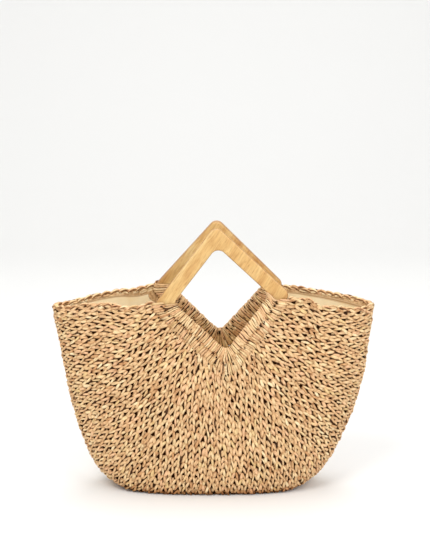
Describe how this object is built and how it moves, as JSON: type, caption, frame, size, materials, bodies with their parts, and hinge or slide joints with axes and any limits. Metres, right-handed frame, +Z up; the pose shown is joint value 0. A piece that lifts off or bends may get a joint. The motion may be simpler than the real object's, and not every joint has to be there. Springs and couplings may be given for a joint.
{
  "type": "straw basket bag",
  "caption": "Crocheted straw basket bag with rounded base, long open mouth, wooden diamond handle frames bound into notches in the sides, and a cloth lining.",
  "frame": {"origin": "centre of the bounding box on the floor plane, under the flat base", "axes": "+X along the bag's length to the right as seen from the front, +Z up out of the mouth, front face towards -Y"},
  "size_m": [0.4036, 0.1184, 0.3393],
  "materials": {
    "straw_body": "matte straw crochet",
    "handle_front": "satin varnished pale wood",
    "handle_back": "satin varnished pale wood",
    "wrap_front": "matte bound straw",
    "wrap_back": "matte bound straw",
    "lining": "plain woven cotton"
  },
  "bodies": {
    "root": {"straw_body": "straw_body", "handle_front": "handle_front", "handle_back": "handle_back", "wrap_front": "wrap_front", "wrap_back": "wrap_back", "lining": "lining"}
  },
  "joints": []
}
